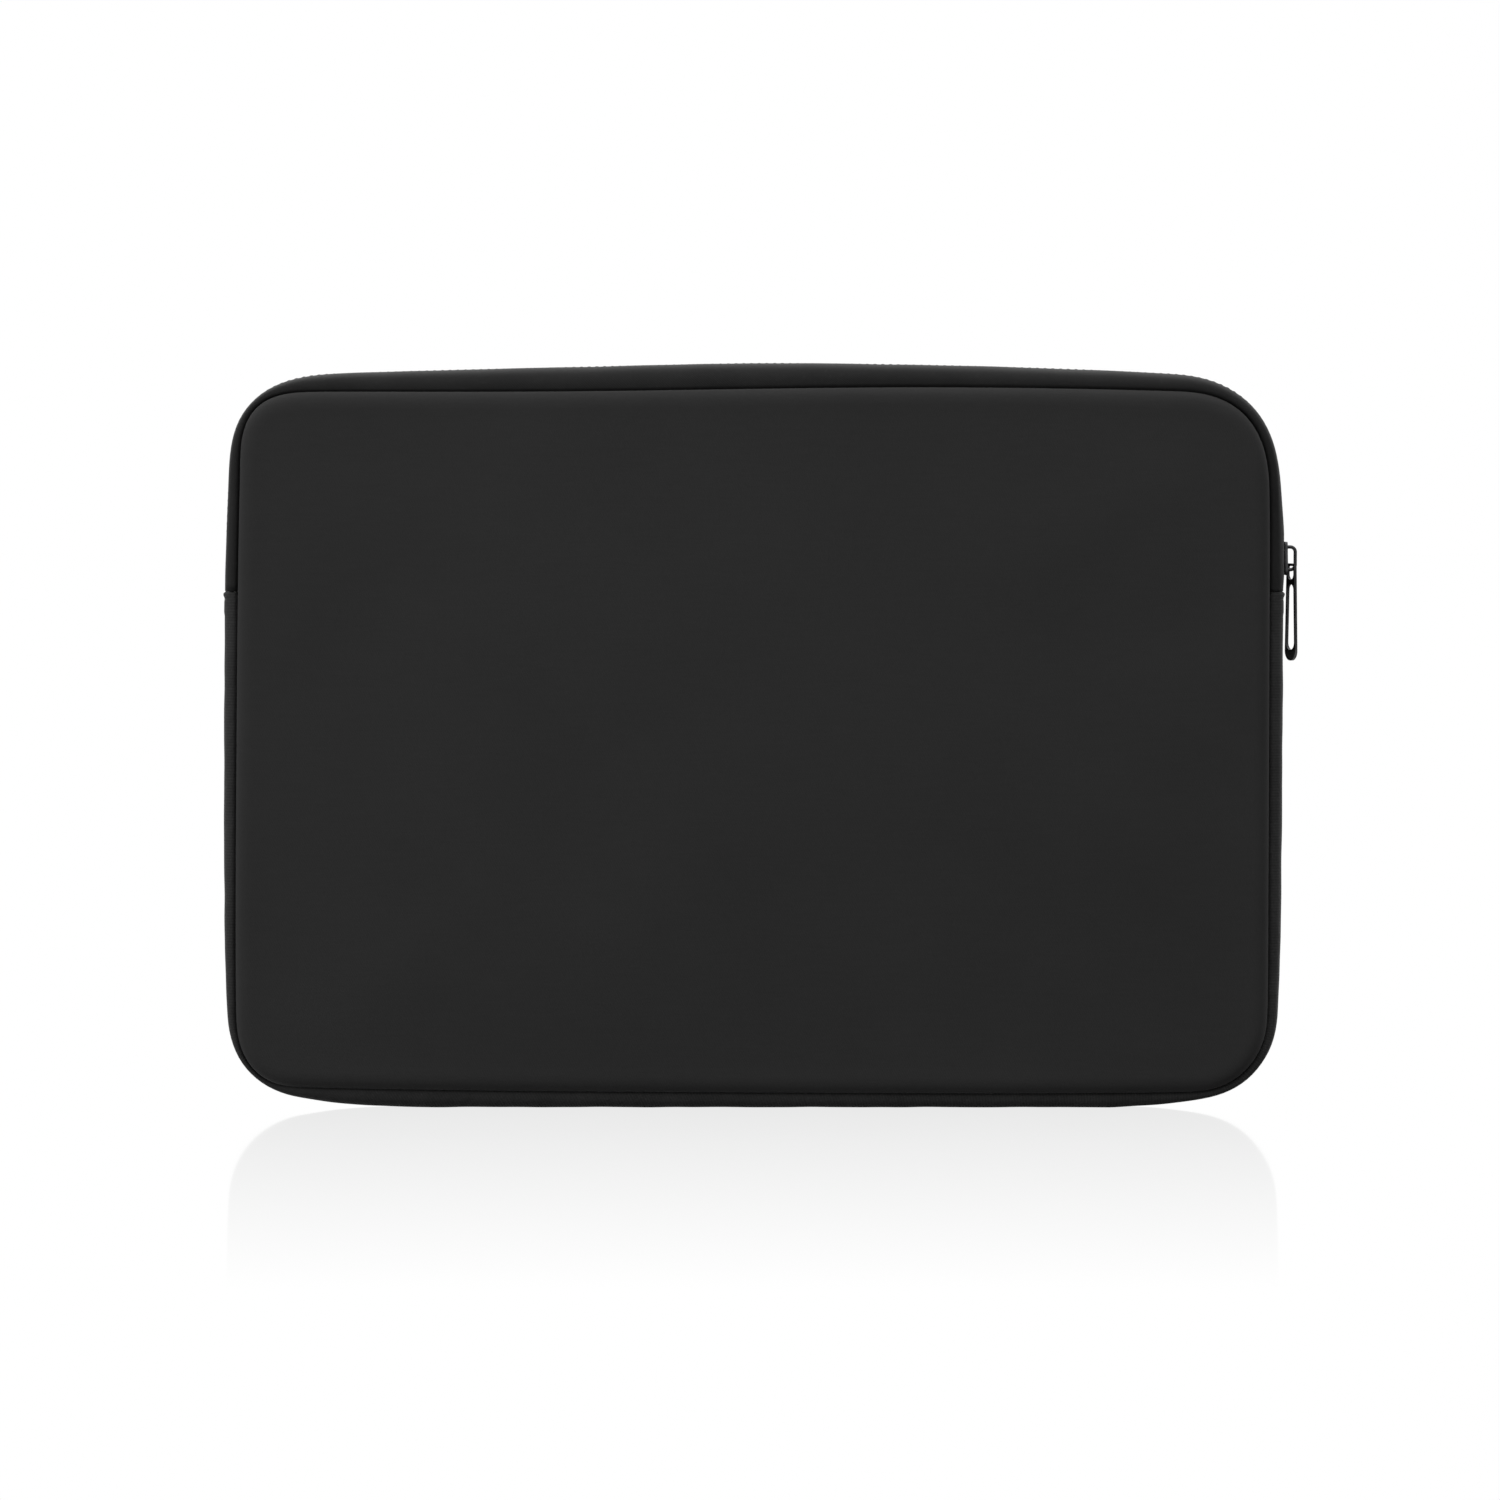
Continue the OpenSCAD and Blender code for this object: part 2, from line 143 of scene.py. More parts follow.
def rounded(u, corners, swells):
    """Points (x, z) of a loop before the cloth has evened it out, in metres."""
    stretch, t = np.floor(u).astype(int), u - np.floor(u)
    points = np.zeros(u.shape + (2,))
    for side in range(4):
        x, z, wide, high, square = corners[side]
        out = np.array([round(math.cos(side * math.pi / 2)), round(math.sin(side * math.pi / 2))])
        start = np.array(corners[side - 1][:2]) + out * corners[side - 1][2:4]
        end = np.array([x, z]) + out * [wide, high]
        swell, fullness, wave = swells[side]
        on_edge = stretch == 2 * side
        te = t[on_edge][..., None]
        rise = swell * (1 - np.abs(2 * te - 1) ** fullness) ** SWELL_SHAPE
        rise += wave * np.sin(2 * math.pi * te)
        points[on_edge] = start + (end - start) * te + out * rise
        on_corner = stretch == 2 * side + 1
        a = (side + t[on_corner]) * math.pi / 2
        way = np.stack([np.cos(a), np.sin(a)], -1) * [wide, high]
        reach = (np.abs(way / [wide, high]) ** square).sum(-1, keepdims=True) ** (-1 / square)
        points[on_corner] = np.array([x, z]) + way * reach
    return points * MM


def arc_length(points):
    """Distance along a row of points, from its start."""
    return np.concatenate([[0], np.cumsum(np.linalg.norm(np.diff(points, axis=0), axis=1))])


def smooth(value, low, high):
    """0 below low, 1 above high, and a soft slope between them."""
    t = np.clip((value - low) / (high - low), 0, 1)
    return t * t * (3 - 2 * t)


class Loop:
    """A closed line round the sleeve, evened out as stiff cloth does, and never below lowest."""

    def __init__(self, corners, swells, evened, lowest):
        self.u = np.linspace(0, 8, LOOP_SAMPLES)
        rough = rounded(np.mod(self.u, 8), corners, swells)
        length = arc_length(rough)
        even = np.linspace(0, length[-1], EVEN_SAMPLES)[:-1]
        bell = np.exp(-0.5 * (np.minimum(even, length[-1] - even) / evened) ** 2)
        bell = np.fft.rfft(bell / bell.sum())
        self.points = np.empty_like(rough)
        for axis in range(2):
            line = np.interp(even, length, rough[:, axis])
            line = np.fft.irfft(np.fft.rfft(line) * bell, len(line))
            closed = np.append(line, line[0])
            self.points[:, axis] = np.interp(length, np.append(even, length[-1]), closed)
        self.points[:, 1] = np.maximum(self.points[:, 1], lowest)

    def __call__(self, u):
        u = np.mod(np.asarray(u, float), 8)
        return np.stack([np.interp(u, self.u, self.points[:, axis]) for axis in range(2)], -1)


outline = Loop(OUTER_CORNERS, OUTER_SWELLS, OUTER_EVENED, TABLE)
seam = Loop(SEAM_CORNERS, SEAM_SWELLS, SEAM_EVENED, TABLE)


def outward(u, loop=outline):
    """Unit vectors that point away from the sleeve, square to a loop."""
    step = 4e-3
    d = loop(np.asarray(u) + step) - loop(np.asarray(u) - step)
    n = np.stack([d[..., 1], -d[..., 0]], -1)
    return n / np.linalg.norm(n, axis=-1, keepdims=True)


def showing(u):
    """How much of the gusset shows outside the seam."""
    return np.linalg.norm(outline(u) - seam(u), axis=-1)


def right_side_u(z):
    """The place on the right side at a height."""
    low, high = OUTER_CORNERS[3][1] * MM, OUTER_CORNERS[0][1] * MM
    return (z - low) / (high - low)


def left_side_u(z):
    """The place on the left side at a height."""
    high, low = OUTER_CORNERS[1][1] * MM, OUTER_CORNERS[2][1] * MM
    return 4 + (high - z) / (high - low)


U_RIGHT, U_LEFT = right_side_u(ZIP_END), left_side_u(ZIP_END)
perimeter = arc_length(outline(np.linspace(0, 8, EVEN_SAMPLES)))[-1]
print(f"outline {1000 * perimeter:.0f} mm round, zip from u = {U_RIGHT:.2f} to {U_LEFT:.2f}")

# %% [markdown]
# ## Turning points into solids
#
# Cloth has two faces. Each strip or panel here is worked out as a grid of points on its outer
# face and a matching grid on its inner face, and one helper closes the space between them, so
# every piece is a real solid and not a sheet of paper. The helper also stores how far along and
# across the cloth each point is, in metres. The ribs and the knit of the finishes need that,
# because they follow the cloth round the corners.

# %% Helpers for meshes


def in_space(places, y):
    """Points from places (x, z) and depths y."""
    return np.stack([places[..., 0], np.broadcast_to(y, places.shape[:-1]), places[..., 1]], -1)


def new_piece(name, vertices, faces, material, attributes=None):
    """A smooth-shaded mesh object."""
    mesh = bpy.data.meshes.new(name)
    mesh.from_pydata([tuple(v) for v in vertices], [], faces)
    for key, values in (attributes or {}).items():
        stored = mesh.attributes.new(key, "FLOAT", "POINT")
        stored.data.foreach_set("value", np.asarray(values, np.float32))
    mesh.validate()
    mesh.polygons.foreach_set("use_smooth", [True] * len(mesh.polygons))
    piece = bpy.data.objects.new(name, mesh)
    bpy.context.scene.collection.objects.link(piece)
    mesh.materials.append(material)
    return piece


def solid_between(name, outer, inner, material, ring=False, weld=0.0, along=None, across=None):
    """The closed solid between two grids of points. Rows run along the cloth, columns across it.

    A ring joins its last row to its first. A weld distance closes a ring whose last columns meet
    in a line.
    """
    rows, cols = outer.shape[:2]
    count = rows * cols

    def index(i, j, layer):
        return layer * count + (i % rows) * cols + j

    steps = rows if ring else rows - 1
    faces = []
    for i in range(steps):
        for j in range(cols - 1):
            faces.append([index(i, j, 0), index(i + 1, j, 0), index(i + 1, j + 1, 0), index(i, j + 1, 0)])
            faces.append([index(i, j + 1, 1), index(i + 1, j + 1, 1), index(i + 1, j, 1), index(i, j, 1)])
        faces.append([index(i, 0, 1), index(i + 1, 0, 1), index(i + 1, 0, 0), index(i, 0, 0)])
        if not weld:
            j = cols - 1
            faces.append([index(i, j, 0), index(i + 1, j, 0), index(i + 1, j, 1), index(i, j, 1)])
    if not ring:
        for j in range(cols - 1):
            faces.append([index(0, j, 0), index(0, j + 1, 0), index(0, j + 1, 1), index(0, j, 1)])
            faces.append([index(-1, j, 1), index(-1, j + 1, 1), index(-1, j + 1, 0), index(-1, j, 0)])
    points = np.concatenate([outer.reshape(-1, 3), inner.reshape(-1, 3)])
    attributes = {}
    for key, values in (("along", along), ("across", across)):
        if values is not None:
            attributes[key] = np.tile(np.broadcast_to(values, (rows, cols)).reshape(-1), 2)
    piece = new_piece(name, points, faces, material, attributes)
    tidy(piece, weld)
    return piece


def tidy(piece, weld=0.0):
    """Joins points that coincide and turns every face outwards."""
    mesh = bmesh.new()
    mesh.from_mesh(piece.data)
    if weld:
        bmesh.ops.remove_doubles(mesh, verts=mesh.verts, dist=weld)
    bmesh.ops.recalc_face_normals(mesh, faces=mesh.faces)
    mesh.to_mesh(piece.data)
    mesh.free()


def tube_of(name, rings, material, closed=False, caps=False):
    """A tube through rings of points, closed into a loop or with flat caps."""
    rows, cols = rings.shape[:2]
    faces = []
    for i in range(rows if closed else rows - 1):
        for j in range(cols):
            k = (i + 1) % rows
            m = (j + 1) % cols
            faces.append([i * cols + j, k * cols + j, k * cols + m, i * cols + m])
    if caps:
        faces.append(list(range(cols)))
        faces.append([(rows - 1) * cols + j for j in reversed(range(cols))])
    piece = new_piece(name, rings.reshape(-1, 3), faces, material)
    tidy(piece)
    return piece


def offset_inwards(grid, thickness):
    """The grid moved square to its own surface, away from the outside of the sleeve."""
    n = np.cross(np.gradient(grid, axis=0), np.gradient(grid, axis=1))
    n /= np.maximum(np.linalg.norm(n, axis=-1, keepdims=True), 1e-12)
    centre = np.array([0, 0, HEIGHT / 2])
    toward = np.sign(((centre - grid) * n).sum(-1).mean())
    return grid + n * thickness * toward


# %% [markdown]
# ## Shader sums
#
# A finish is mostly arithmetic: this rib plus that fleck, faded near the edge. Written as nodes
# it is a page of plumbing, so one small class wraps a socket and lets Python's own signs build
# the Math nodes. Every other node comes from one method, which sets the node's options first
# and then its sockets. A second class adds what only a material needs.

# %% Helpers for materials


class Signal:
    """A socket that sums can be written with."""

    def __init__(self, nodes, socket):
        self.nodes, self.socket = nodes, socket

    def maths(self, operation, *values):
        return self.nodes.add("ShaderNodeMath", {"operation": operation}, dict(enumerate(values)))

    def __add__(self, other):
        return self.maths("ADD", self, other)

    def __rsub__(self, other):
        return self.maths("SUBTRACT", other, self)

    def __mul__(self, other):
        return self.maths("MULTIPLY", self, other)

    __radd__, __rmul__ = __add__, __mul__

    def sine(self):
        return self.maths("SINE", self)

    def above(self, low, high):
        """0 below low, 1 above high, and smooth between them."""
        settings = {"interpolation_type": "SMOOTHSTEP"}
        return self.nodes.add("ShaderNodeMapRange", settings, {0: self, 1: low, 2: high, 3: 0.0, 4: 1.0})


class Nodes:
    """A node tree that is being wired."""

    def __init__(self, tree):
        self.tree = tree
        tree.nodes.clear()

    def add(self, kind, settings=None, values=None, output=0):
        """A node with its settings, then the values or links of its sockets."""
        node = self.tree.nodes.new(kind)
        for key, value in (settings or {}).items():
            setattr(node, key, value)
        for key, value in (values or {}).items():
            self.plug(node.inputs[key], value)
        return Signal(self, node.outputs[output]) if node.outputs else node

    def plug(self, socket, value):
        if isinstance(value, Signal):
            self.tree.links.new(value.socket, socket)
        elif value is not None:
            socket.default_value = value


class Board(Nodes):
    """The nodes of a material, with one shader."""

    def __init__(self, name):
        self.material = bpy.data.materials.new(name)
        self.material.use_nodes = True
        super().__init__(self.material.node_tree)
        self.shader = self.tree.nodes.new("ShaderNodeBsdfPrincipled")
        base = Signal(self, self.shader.outputs[0])
        self.output = self.add("ShaderNodeOutputMaterial", None, {"Surface": base})

    def set(self, **values):
        """Sets the shader's own sockets, named with underscores for spaces."""
        for key, value in values.items():
            self.plug(self.shader.inputs[key.replace("_", " ")], value)

    def place(self, axis):
        """A coordinate of the surface in metres, at rest."""
        where = self.add("ShaderNodeTexCoord", output=3)
        return self.add("ShaderNodeSeparateXYZ", None, {0: where}, output="XYZ".index(axis))

    def stored(self, name):
        """A number that the mesh stores at each point."""
        return self.add("ShaderNodeAttribute", {"attribute_name": name}, output=2)

    def noise(self, size, detail=2.0, roughness=0.5, stretch=(1, 1, 1)):
        """Soft noise between 0 and 1, with blobs of a size in metres."""
        where = self.add("ShaderNodeTexCoord", output=3)
        scale = tuple(1 / (size * k) for k in stretch)
        scaled = self.add("ShaderNodeMapping", None, {0: where, 3: scale})
        values = {"Vector": scaled, "Scale": 1.0, "Detail": detail, "Roughness": roughness}
        return self.add("ShaderNodeTexNoise", None, values)

    def mix(self, mask, low, high):
        """A colour that goes from low to high as mask goes from 0 to 1."""
        return self.add("ShaderNodeMix", {"data_type": "RGBA"}, {0: mask, 6: low, 7: high}, output=2)

    def bump(self, height, depth, strength=1.0, under=None):
        """A normal from a height between 0 and 1, depth metres deep."""
        values = {"Height": height, "Distance": depth, "Strength": strength, "Normal": under}
        return self.add("ShaderNodeBump", None, values)


def grey(level, blue=1.0):
    """A neutral colour, or a cooler one where blue is over 1."""
    return (level, level, level * blue, 1.0)


def ripples(distance, pitch):
    """Even waves along a distance, from -1 to 1."""
    return (distance * (2 * math.pi / pitch)).sine()


def ridges(distance, pitch):
    """Even waves along a distance, from 0 to 1."""
    return ripples(distance, pitch) * 0.5 + 0.5


print("ready to wire materials")

# %% [markdown]
# ## The cloths
#
# All the cloth on the sleeve is near-black polyester, but no two pieces take the light alike.
# The covers are a close plain weave, brushed matt, with slightly uneven threads. The gusset is
# corded, with a rib every millimetre across its length. The zip's tape is a smooth warp knit. A
# weave this fine is best made as height for the light to catch, over a slow drift of colour that
# keeps the big flat covers from looking like plastic.

# %% Cover cloth


def cover_cloth():
    board = Board("cover_cloth")
    x, z = board.place("X"), board.place("Z")
    slow = board.noise(60 * MM, detail=3)
    fleck = board.noise(0.7 * MM, detail=1)
    uneven = board.noise(9 * MM, detail=2, stretch=(1, 1, 0.12))
    tone = slow * 0.5 + fleck * 0.3 + uneven * 0.2
    colour = board.mix(tone.above(0.25, 0.75), grey(0.0150), grey(0.0185))
    threads = ripples(x, 0.9 * MM) * ripples(z, 1.8 * MM) * 0.5 + 0.5
    fine = board.bump(threads, 0.05 * MM, 0.35)
    normal = board.bump(slow * 0.6 + uneven * 0.4, 0.25 * MM, 0.3, fine)
    board.set(Base_Color=colour, Roughness=0.82 + fleck * 0.1, Normal=normal)
    board.set(Sheen_Weight=0.06, Sheen_Roughness=0.5, Specular_IOR_Level=0.12)
    return board.material


COVER = cover_cloth()
print("made", COVER.name)

# %% Gusset cloth and zip tape


def gusset_cloth():
    board = Board("gusset_cloth")
    along, across = board.stored("along"), board.stored("across")
    rib = ridges(along, 1.05 * MM)
    fleck = board.noise(0.8 * MM, detail=2, roughness=0.7)
    patch = board.noise(14 * MM, detail=2)
    lint = board.noise(0.6 * MM, detail=1).above(0.7, 0.8)
    tone = rib * 0.2 + fleck * 0.45 + patch * 0.35
    colour = board.mix(tone.above(0.2, 0.8), grey(0.011), grey(0.023))
    colour = board.mix(lint * 0.25, colour, grey(0.09))
    pucker = board.bump(board.noise(4.5 * MM, detail=3, roughness=0.6), 0.9 * MM, 0.5)
    ribs = board.bump(rib, 0.16 * MM, 0.22, pucker)
    weft = ridges(across, 0.5 * MM)
    normal = board.bump(weft * 0.4 + fleck * 0.6, 0.08 * MM, 0.4, ribs)
    board.set(Base_Color=colour, Roughness=0.72 + fleck * 0.15, Normal=normal)
    board.set(Sheen_Weight=0.1, Sheen_Roughness=0.4, Specular_IOR_Level=0.15)
    return board.material


def tape_cloth():
    board = Board("zip_tape")
    along, across = board.stored("along"), board.stored("across")
    knit = ripples(across, 0.7 * MM) * ripples(along, 0.9 * MM) * 0.5 + 0.5
    fleck = board.noise(1.0 * MM, detail=2, roughness=0.65)
    patch = board.noise(22 * MM, detail=2)
    lint = board.noise(1.1 * MM, detail=2, roughness=0.6).above(0.62, 0.74)
    tone = knit * 0.25 + fleck * 0.45 + patch * 0.3
    colour = board.mix(tone.above(0.3, 0.7), grey(0.0022), grey(0.0085))
    colour = board.mix(lint * 0.3, colour, grey(0.028))
    fine = board.bump(knit, 0.07 * MM, 0.5)
    normal = board.bump(patch * 0.5 + fleck * 0.5, 0.2 * MM, 0.3, fine)
    board.set(Base_Color=colour, Roughness=0.66 + fleck * 0.15, Normal=normal)
    board.set(Sheen_Weight=0.09, Sheen_Roughness=0.35, Specular_IOR_Level=0.15)
    return board.material


GUSSET, TAPE = gusset_cloth(), tape_cloth()
print("made", GUSSET.name, TAPE.name)

# %% [markdown]
# ## What shows when the mouth opens
#
# Inside there is a brushed lining, a ribbed binding over the raw seams, and the zip's coils,
# which are shiny filament sewn down with two rows of thread. The foam never shows, but it is a
# piece of the sleeve like any other, so it gets its cell structure.

# %% Lining, binding, foam, filament and thread


def lining_cloth():
    board = Board("lining_cloth")
    pile = board.noise(0.9 * MM, detail=3, roughness=0.75)
    drift = board.noise(25 * MM, detail=2)
    tone = pile * 0.6 + drift * 0.4
    colour = board.mix(tone.above(0.3, 0.7), grey(0.05, 1.05), grey(0.085, 1.05))
    board.set(Base_Color=colour, Roughness=0.95, Normal=board.bump(pile, 0.3 * MM, 0.5))
    board.set(Sheen_Weight=0.6, Sheen_Roughness=0.5, Specular_IOR_Level=0.2)
    return board.material


def binding_cloth():
    board = Board("binding_tape")
    x, z = board.place("X"), board.place("Z")
    rib = ridges(x + z, 1.2 * MM)
    fleck = board.noise(0.7 * MM, detail=2)
    colour = board.mix(rib * 0.6 + fleck * 0.4, grey(0.013), grey(0.026))
    board.set(Base_Color=colour, Roughness=0.75, Normal=board.bump(rib, 0.15 * MM, 0.5))
    board.set(Sheen_Weight=0.3, Specular_IOR_Level=0.35)
    return board.material


def foam_sponge():
    board = Board("foam")
    cells = board.noise(1.2 * MM, detail=2, roughness=0.8)
    colour = board.mix(cells.above(0.3, 0.7), grey(0.09), grey(0.15))
    board.set(Base_Color=colour, Roughness=0.95, Normal=board.bump(cells, 0.3 * MM, 0.7))
    return board.material


def filament():
    board = Board("zip_coil")
    scuff = board.noise(2 * MM, detail=2)
    board.set(Base_Color=board.mix(scuff, grey(0.010), grey(0.016)), Roughness=0.3 + scuff * 0.2)
    board.set(Coat_Weight=0.2)
    return board.material


def sewing_thread():
    board = Board("thread")
    ply = board.noise(0.35 * MM, detail=1)
    colour = board.mix(ply, grey(0.017), grey(0.04))
    board.set(Base_Color=colour, Roughness=0.6, Normal=board.bump(ply, 0.05 * MM, 0.6))
    board.set(Sheen_Weight=0.3)
    return board.material


LINING_CLOTH, BINDING, FOAM_SPONGE = lining_cloth(), binding_cloth(), foam_sponge()
FILAMENT, THREAD = filament(), sewing_thread()
print("made", ", ".join(m.name for m in (LINING_CLOTH, BINDING, FOAM_SPONGE, FILAMENT, THREAD)))

# %% [markdown]
# ## The metal
#
# The slider and its puller are zinc castings with a dark plated finish, called gunmetal. Plating
# is thinnest where fingers rub, so there are brighter patches. The puller's tip is painted brighter
# and smoother: partly wear, and partly a painted highlight that stands in for a lamp reflected in
# the rounded tip. These two pieces are taken from the drawing as they are.

# %% Gunmetal


def gunmetal():
    board = Board("gunmetal")
    cast = board.noise(0.9 * MM, detail=3, roughness=0.6)
    rub = board.noise(4 * MM, detail=2).above(0.45, 0.7)
    colour = board.mix(rub * 0.6 + cast * 0.4, grey(0.022, 1.06), grey(0.06, 1.03))
    # Painted highlight of a reflected lamp at the puller's tip, mixed with wear.
    tip = board.place("Z").above(puller_low.z + 4.5 * MM, puller_low.z + 1.5 * MM)
    tip_highlight_and_wear = tip * board.noise(3 * MM).above(0.3, 0.6)
    colour = board.mix(tip_highlight_and_wear, colour, grey(0.26))
    board.set(Base_Color=colour, Metallic=0.9, Roughness=0.46 - tip_highlight_and_wear * 0.2 + cast * 0.06)
    board.set(Normal=board.bump(cast, 0.06 * MM, 0.35))
    return board.material


GUNMETAL = gunmetal()
for node in ("slider_body", "puller"):
    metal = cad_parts[node]
    metal.data.materials.clear()
    metal.data.materials.append(GUNMETAL)
print("plated slider_body and puller")

# %% [markdown]
# ## The gusset's section
#
# Cut through the gusset and it is a bulge: it dives into the seam at the front, swells out to the
# outline at its middle, and dives in again at the back. Where it meets the cover, both cloths roll
# into the seam, and the shadow in that roll is the dark line that runs round each cover. The same
# section serves the ribbed strip and both zip tapes.

# %% Section of the gusset
ROLL_IN = 1.5 * MM
FULLNESS = 2.6
ROLL_STEPS, BULGE_STEPS = 5, 15
ROW_STEP = 2.6 * MM


def section():
    """Shares of the roll, the bulge, the depth and the dive, from the seam to the gusset's middle."""
    a = np.linspace(0, math.pi / 2, ROLL_STEPS, endpoint=False)
    b = np.linspace(0, math.pi / 2, BULGE_STEPS)
    roll = np.concatenate([1 - np.cos(a), np.ones(BULGE_STEPS)])
    bulge = np.concatenate([np.zeros(ROLL_STEPS), np.sin(b) ** (2 / FULLNESS)])
    bulge[-1] = 1
    depth = np.concatenate([np.zeros(ROLL_STEPS), np.cos(b) ** (2 / FULLNESS)])
    depth[-1] = 0
    dive = np.concatenate([1 - np.sin(a), np.zeros(BULGE_STEPS)])
    return roll, bulge, depth, dive


def gusset_half(u, sign, gap=0.0):
    """Points on the gusset's outer face, from the seam (sign -1 at the front) to its middle."""
    roll, bulge, depth, dive = section()
    gap = np.broadcast_to(gap, u.shape)[:, None]
    show = showing(u)[:, None]
    turn = np.minimum(ROLL_IN, 0.4 * show)
    share = (roll * turn + bulge * (show - turn)) / show
    y = np.where(bulge == 0, SEAM_Y - dive * turn, gap + depth * (SEAM_Y - gap))
    low, high = seam(u)[:, None], outline(u)[:, None]
    return in_space(low + (high - low) * share[..., None], sign * y)


def across_of(grid):
    """Distance across the cloth at each point of a grid, from its first column."""
    steps = np.linalg.norm(np.diff(grid, axis=1), axis=-1)
    return np.concatenate([np.zeros((len(grid), 1)), np.cumsum(steps, 1)], 1)


def along_of(u):
    """Distance along the outline at each place, as a column."""
    return arc_length(outline(u))[:, None]


def push_out(grid, u, amount):
    """Moves a grid away from the sleeve, fading to nothing at the seams."""
    move = amount * np.clip(1 - (np.abs(grid[..., 1]) / SEAM_Y) ** 4, 0, 1)
    grid = grid.copy()
    grid[..., 0::2] += outward(u)[:, None] * move[..., None]
    return grid


def ruck(u, seed, size, wave):
    """Slow unevenness along the cloth, as a column."""
    draw = np.random.default_rng(seed)
    length = arc_length(outline(u))
    total = np.zeros(len(u))
    for k in range(1, 6):
        total += np.sin(2 * math.pi * length / (wave / k ** 0.7) + draw.uniform(0, 6.28)) / k
    return size * total[:, None]


def spaced_u(start, end, step, extra=()):
    """Places along the outline about step apart, from start to end, with extra places added."""
    fine = np.linspace(start, end, EVEN_SAMPLES)
    length = arc_length(outline(fine))
    count = max(2, round(length[-1] / step) + 1)
    places = np.interp(np.linspace(0, length[-1], count), length, fine)
    return np.unique(np.concatenate([places, extra]))


print("seam roll", 1000 * ROLL_IN, "mm")

# %% [markdown]
# ## The lower gusset
#
# One strip of ribbed cloth runs from one end of the zip, down, under and up to the other. Its
# ends are folded back over the ends of the zip and sewn across, which leaves a small bead at the
# fold and a dip at the row of stitches. The strip is swept along the outline with rows packed
# close where the fold is, since a fold needs more points than a straight run.

# %% Ribbed strip
HEM = 8 * MM
HEM_STITCH = 2.6 * MM


def hem_rise(d):
    """How far the folded end stands off the strip, at a distance d from its edge."""
    bead = 0.42 * MM * np.exp(-(((d - 0.9 * MM) / (0.9 * MM)) ** 2))
    doubled = 0.22 * MM * (1 - smooth(d, HEM - 0.8 * MM, HEM + 0.8 * MM))
    stitched = -0.22 * MM * np.exp(-(((d - HEM_STITCH) / (0.45 * MM)) ** 2))
    edge = -0.45 * MM * np.exp(-((d / (0.35 * MM)) ** 2))
    return bead + doubled + stitched + edge


def strip_u():
    """Places along the strip, packed close at its folded ends."""
    at_fold = [0, 0.15, 0.35, 0.6, 0.9, 1.2, 1.6, 2.0, 2.3, 2.6, 2.9, 3.3]
    behind_fold = [4, 5, 6, 7, 7.6, 8.2, 8.8]
    near = np.array(at_fold + behind_fold) * MM
    from_left = left_side_u(ZIP_END - near)
    to_right = 8 + right_side_u(ZIP_END - near)
    middle = spaced_u(from_left[-1], to_right[-1], ROW_STEP)
    return np.unique(np.concatenate([from_left, middle, to_right]))


def whole_section(u):
    """Both halves of the gusset joined at the middle: seam, round, and to the other seam."""
    front, rear = gusset_half(u, -1), gusset_half(u, 1)
    return np.concatenate([front, rear[:, ::-1][:, 1:]], 1)


u_strip = strip_u()
strip_along = along_of(u_strip)
end_distance = np.minimum(strip_along, strip_along[-1] - strip_along)
rise = hem_rise(end_distance) + ruck(u_strip, 3, 0.06 * MM, 40 * MM)
strip_face = push_out(whole_section(u_strip), u_strip, rise)
strip_face[..., 2] = np.maximum(strip_face[..., 2], TABLE)
strip = solid_between(
    "gusset_strip_cloth", strip_face, offset_inwards(strip_face, STRIP), GUSSET,
    along=strip_along, across=across_of(strip_face),
)
print("strip", len(strip.data.vertices), "points")

# %% [markdown]
# ## The zip tapes
#
# Two tapes, front and rear, meet along the middle of the gusset. The zip is reversed, so all that
# shows is two edges with a hairline between them, and a little thread. Below the slider the tapes
# stand apart round the slider's divider. Each tape has a shallow dip where its coil is sewn on,
# and is lifted a little along the slider's way, which is straight where the outline isn't.

# %% Tapes
TAPE_T = 0.6 * MM
HAIRLINE = 0.1 * MM
DIVIDER = 1.1 * MM
COIL_STITCH = 2.4 * MM
SLIDE_TOP = slider_high.z + 26 * MM
LARGEST_LIFT = 0.7 * MM


def half_gap(u):
    """Half the gap between the tapes."""
    x, z = outline(u).T
    opened = smooth(z, ZIP_END - 1 * MM, slider_low.z)
    closed = smooth(z, slider_mid_z - slider_length / 8, slider_mid_z + slider_length / 4)
    return HAIRLINE + (DIVIDER - HAIRLINE) * (x > 0) * opened * (1 - closed)


def slider_way(u):
    """How far the tapes are lifted to the straight way that the slider runs."""
    x, z = outline(u).T
    below = smooth(z, slider_low.z - 6 * MM, slider_low.z)
    above = 1 - smooth(z, slider_high.z, SLIDE_TOP + 6 * MM)
    return np.clip(strip_high.x - 0.5 * MM - x, 0, LARGEST_LIFT) * below * above * (x > 0)


def tape(name, sign, start_z):
    """One half of the zip, from a height on the right side to the same height on the left."""
    extra = right_side_u(np.linspace(start_z, slider_high.z, 19))
    u = spaced_u(right_side_u(start_z), left_side_u(start_z), ROW_STEP, extra)
    face = gusset_half(u, sign, half_gap(u))
    y = np.abs(face[..., 1])
    sewn = -0.12 * MM * np.exp(-(((y - COIL_STITCH) / (0.5 * MM)) ** 2))
    lift = slider_way(u)[:, None] * np.exp(-((y / (8 * MM)) ** 6))
    face = push_out(face, u, sewn + ruck(u, 11, 0.05 * MM, 55 * MM) + lift)
    back = offset_inwards(face, TAPE_T)
    return solid_between(name, face, back, TAPE, along=along_of(u), across=across_of(face))


rear_tape = tape("rear_tape", 1, ZIP_END)
front_tape = tape("front_tape", -1, front_tape_low.z)
print("tapes", len(rear_tape.data.vertices), len(front_tape.data.vertices), "points")

